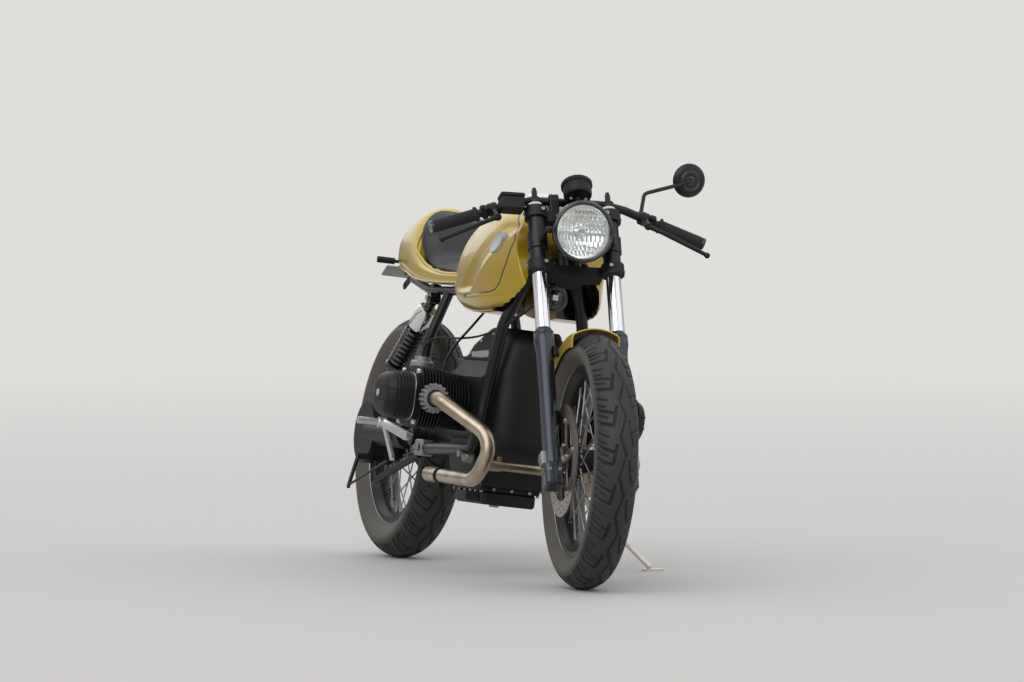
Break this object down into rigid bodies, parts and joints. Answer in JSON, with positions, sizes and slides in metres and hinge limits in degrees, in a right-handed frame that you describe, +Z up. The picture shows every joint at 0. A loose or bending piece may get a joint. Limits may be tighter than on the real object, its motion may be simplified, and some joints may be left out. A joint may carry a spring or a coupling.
{
  "type": "cafe racer motorcycle",
  "caption": "Cafe racer motorcycle with a flat-twin engine, wire wheels, solo seat and low bar, parked on its side stand.",
  "frame": {"origin": "on the ground, at the middle of the machine's footprint as it stands on its side stand", "axes": "+X to the rider's left, +Y to the rear, +Z up; the machine leans to +X"},
  "size_m": [0.8224, 2.1008, 1.0804],
  "materials": {
    "body_paint": "gloss metallic mustard",
    "black_paint": "satin black",
    "engine_black": "satin black over cast fins",
    "cast_aluminium": "machined and bead blasted",
    "pipe_steel": "heat-tinted stainless",
    "chrome": "bright plate",
    "axle_steel": "bare",
    "black_plastic": "fine grain",
    "lamp_black": "gloss black",
    "lamp_glass": "fluted clear",
    "grip_rubber": "ribbed",
    "caliper_black": "black anodised",
    "pad_leather": "black, stitched ribs",
    "tyre": "grooved tread",
    "rim_black": "dark with a bright lip",
    "spoke_steel": "bare",
    "hub_black": "satin",
    "disc_steel": "swept and drilled",
    "stand_steel": "zinc plated"
  },
  "bodies": {
    "frame": {"rear_subframe": "black_paint", "backbone": "black_paint", "cradle_tube_right": "black_paint", "cradle_tube_left": "black_paint", "crankcase": "engine_black", "front_cover": "engine_black", "top_cover": "engine_black", "gearbox": "engine_black", "oil_pan": "engine_black", "cylinder_right": "engine_black", "cylinder_left": "engine_black", "rocker_cover_right": "engine_black", "rocker_cover_left": "engine_black", "collar_nut_right": "cast_aluminium", "collar_nut_left": "cast_aluminium", "header_right": "pipe_steel", "header_left": "pipe_steel", "crossover_pipe": "pipe_steel", "carburettor_right": "cast_aluminium", "carburettor_left": "cast_aluminium", "fuel_tank": "body_paint", "filler_cap": "chrome", "tank_roundels": "chrome", "seat_cowl": "body_paint", "seat_pad": "pad_leather", "swingarm": "engine_black", "rear_axle": "axle_steel", "shock_absorber": "chrome", "plate_carrier": "black_plastic", "horn": "black_plastic", "rear_indicators": "black_plastic", "rearset_right": "cast_aluminium", "rearset_left": "cast_aluminium", "stand_bracket": "black_paint"},
    "steering": {"stanchions": "chrome", "fork_leg_right": "black_paint", "fork_leg_left": "black_paint", "front_axle": "axle_steel", "lower_clamp": "engine_black", "handlebar": "black_paint", "top_clamp": "engine_black", "front_fender": "body_paint", "headlamp_shell": "lamp_black", "headlamp_lens": "lamp_glass", "grips": "grip_rubber", "levers": "black_paint", "brake_reservoir": "black_plastic", "mirror": "black_plastic", "gauge": "lamp_black", "calipers": "caliper_black"},
    "front_wheel": {"front_tyre": "tyre", "front_rim": "rim_black", "front_spokes": "spoke_steel", "front_hub": "hub_black", "front_discs": "disc_steel"},
    "rear_wheel": {"rear_tyre": "tyre", "rear_rim": "rim_black", "rear_spokes": "spoke_steel", "rear_hub": "hub_black"},
    "side_stand": {"side_stand": "stand_steel"}
  },
  "joints": [
    {"name": "steering", "type": "hinge", "parent": "frame", "child": "steering", "pos_m": [-0.06749, -0.67937, 0.29378], "axis": [0.1076, 0.4699, 0.8761], "range_deg": [-27.6, 42.4]},
    {"name": "front_wheel_spin", "type": "hinge", "parent": "steering", "child": "front_wheel", "pos_m": [-0.07161, -0.73015, 0.32151], "axis": [0.9916, -0.1138, -0.0608], "continuous": true},
    {"name": "rear_wheel_spin", "type": "hinge", "parent": "frame", "child": "rear_wheel", "pos_m": [-0.06271, 0.71643, 0.33203], "axis": [0.9925, -0.0001, -0.1219], "continuous": true},
    {"name": "side_stand_fold", "type": "hinge", "parent": "frame", "child": "side_stand", "pos_m": [0.10357, 0.14942, 0.2998], "axis": [0.8041, 0.0675, 0.5906], "range_deg": [0, 100]}
  ]
}
